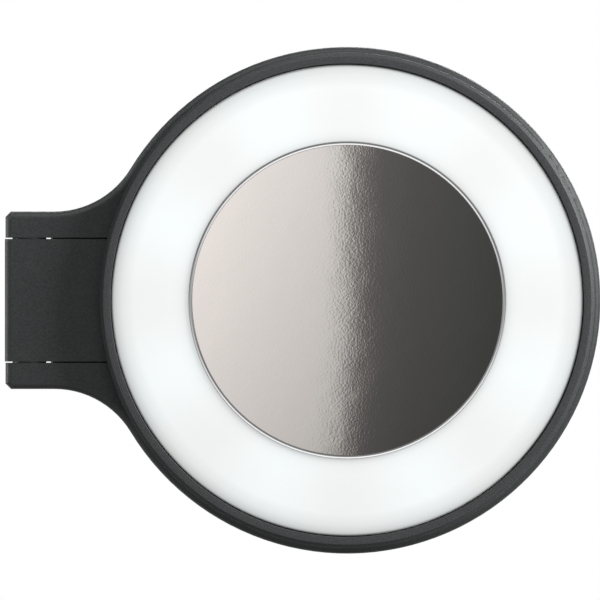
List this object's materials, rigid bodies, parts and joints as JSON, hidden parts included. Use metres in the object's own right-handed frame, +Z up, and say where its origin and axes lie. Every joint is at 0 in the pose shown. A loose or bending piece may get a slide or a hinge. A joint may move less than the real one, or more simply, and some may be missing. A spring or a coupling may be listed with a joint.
{
  "type": "extendable shaving mirror",
  "caption": "Round lit shaving mirror on a wall arm: the slotted arm swings and slides out, and the forked mirror head swings open on an upright hinge.",
  "frame": {"origin": "centre of the wall plate's back face, on the wall", "axes": "+Z up, +X to the right seen from the front, +Y into the wall, so the mirror faces -Y"},
  "size_m": [0.2703, 0.0604, 0.23],
  "materials": {
    "mirror_silver": "polished silvered glass",
    "polished_trim": "polished bevelled edge",
    "black_plastic": "fine moulded texture",
    "opal_diffuser": "satin opal",
    "black_coat": "matte black powder coat, fine grain",
    "white_plastic": "glossy white",
    "circuit_board": "green solder mask",
    "led_lens": "yellow phosphor lens",
    "zinc_screw": "bright zinc",
    "black_screw": "black oxide",
    "battery_wrap": "shrink film",
    "switch_body": "satin",
    "spring_steel": "drawn wire",
    "port_steel": "satin nickel",
    "button_rubber": "soft touch",
    "bearing_plastic": "smooth dark acetal",
    "pin_steel": "ground",
    "bush_bronze": "sintered bronze",
    "buffer_rubber": "matt"
  },
  "bodies": {
    "wall": {"wall_plate": "black_coat", "hinge_bracket": "black_coat", "bracket_screws": "zinc_screw", "rest_buffers": "buffer_rubber", "wall_hinge_pin": "pin_steel", "wall_hinge_nut": "zinc_screw", "wall_disc_springs": "spring_steel", "wall_hinge_caps": "black_plastic"},
    "arm_rail": {"arm_rail": "black_coat", "rail_end_stop": "black_plastic", "wall_hinge_bushes": "bush_bronze", "wall_hinge_washers": "bearing_plastic"},
    "arm_slider": {"arm_slider": "black_coat", "slider_end_cap": "black_plastic", "slider_runner": "bearing_plastic", "runner_screws": "black_screw", "glide_strips": "bearing_plastic", "head_hinge_washers": "bearing_plastic", "head_hinge_bushes": "bush_bronze"},
    "head": {"mirror_glass": "mirror_silver", "mirror_trim_ring": "polished_trim", "mirror_carrier": "black_plastic", "diffuser_ring": "opal_diffuser", "bezel_ring": "black_coat", "reflector_tray": "white_plastic", "led_board": "circuit_board", "leds": "led_lens", "tray_screws": "zinc_screw", "head_shell": "black_coat", "upper_back_cover": "black_plastic", "lower_back_cover": "black_plastic", "cover_screws": "black_screw", "battery_pack": "battery_wrap", "control_board": "circuit_board", "button_switch": "switch_body", "button_spring": "spring_steel", "charge_port": "port_steel", "head_hinge_pin": "pin_steel", "head_hinge_nut": "zinc_screw", "head_disc_springs": "spring_steel", "head_hinge_caps": "black_plastic"},
    "power_button": {"power_button": "button_rubber"}
  },
  "joints": [
    {"name": "wall_swing", "type": "hinge", "parent": "wall", "child": "arm_rail", "pos_m": [0.045, -0.024, 0], "axis": [0, 0, 1], "range_deg": [0, 90]},
    {"name": "arm_slide", "type": "slide", "parent": "arm_rail", "child": "arm_slider", "axis": [-1, 0, 0], "range_m": [0, 0.11]},
    {"name": "head_swing", "type": "hinge", "parent": "arm_slider", "child": "head", "pos_m": [-0.19225, -0.0383, 0], "axis": [0, 0, -1], "range_deg": [0, 180]},
    {"name": "button_press", "type": "slide", "parent": "head", "child": "power_button", "axis": [0, -1, 0], "range_m": [0, 0.001], "stiffness_N_per_m": 600, "springref_m": -0.001, "deforming": ["button_spring"]}
  ]
}
